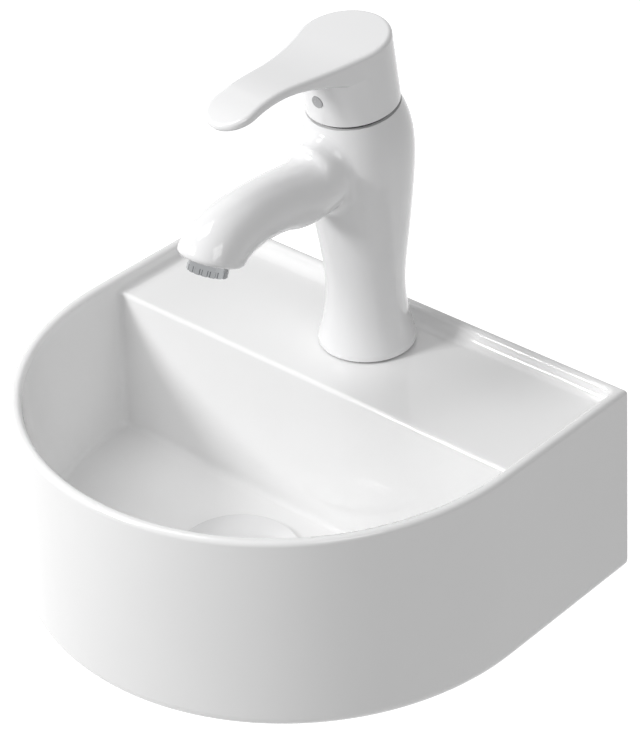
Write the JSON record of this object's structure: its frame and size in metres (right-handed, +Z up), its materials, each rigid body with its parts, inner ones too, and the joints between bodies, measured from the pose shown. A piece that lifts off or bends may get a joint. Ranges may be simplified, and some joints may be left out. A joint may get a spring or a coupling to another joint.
{
  "type": "wall-hung basin with mixer tap",
  "caption": "Small wall-hung D-shaped wash basin with a flat back, a tap deck, a single-lever mixer tap with a down-turned spout, and a push-open waste.",
  "frame": {"origin": "midway between the two wall bolts, in the plane of the wall", "axes": "+X to the right seen from the front, +Y into the wall, +Z up"},
  "size_m": [0.2956, 0.2458, 0.3331],
  "materials": {
    "glaze": "gloss",
    "lacquer": "gloss",
    "cap_lacquer": "gloss",
    "chrome": "polished",
    "brass": "machined",
    "steel": "satin",
    "rubber": "matte",
    "plastic": "matte",
    "joint": "satin",
    "button": "gloss",
    "disc_ceramic": "lapped"
  },
  "bodies": {
    "base": {"basin_body": "glaze", "tap_body": "lacquer", "aerator_housing": "chrome", "waste_body": "brass", "cartridge_nut": "brass", "waste_nut": "brass", "fixing_stud": "steel", "horseshoe_plate": "steel", "stud_nut": "steel", "waste_spring": "steel", "base_gasket": "rubber", "horseshoe_gasket": "rubber", "cartridge_seals": "rubber", "aerator_washer": "rubber", "flange_seal": "rubber", "lower_seal": "rubber", "cartridge_housing": "plastic", "cartridge_base": "plastic", "click_sleeve": "plastic", "waste_washer": "plastic", "aerator_insert": "plastic", "cover_ring": "joint", "fixed_disc": "disc_ceramic"},
    "rotor": {"cartridge_rotor": "plastic", "spindle_pin": "steel"},
    "lever": {"handle": "lacquer", "handle_screw": "steel", "index_plug": "button", "cartridge_spindle": "brass"},
    "disc": {"moving_disc": "disc_ceramic"},
    "waste": {"waste_cap": "cap_lacquer", "waste_cap_seal": "rubber", "waste_stem": "brass"}
  },
  "joints": [
    {"name": "handle_turn", "type": "hinge", "parent": "base", "child": "rotor", "pos_m": [0, -0.0406, 0.1717], "axis": [0, -0.1392, 0.9903], "range_deg": [-45, 45]},
    {"name": "handle_lift", "type": "hinge", "parent": "rotor", "child": "lever", "pos_m": [0, -0.03823, 0.15487], "axis": [-1, 0, 0], "range_deg": [0, 20]},
    {"name": "disc_slide", "type": "slide", "parent": "rotor", "child": "disc", "axis": [0, -0.9903, -0.1392], "range_m": [0, 0.0037]},
    {"name": "waste_slide", "type": "slide", "parent": "base", "child": "waste", "axis": [0, 0, 1], "range_m": [0, 0.008], "deforming": ["waste_spring"]}
  ],
  "couplings": [
    {"joint": "disc_slide", "follows": "handle_lift", "m_per_rad": 0.0105}
  ]
}
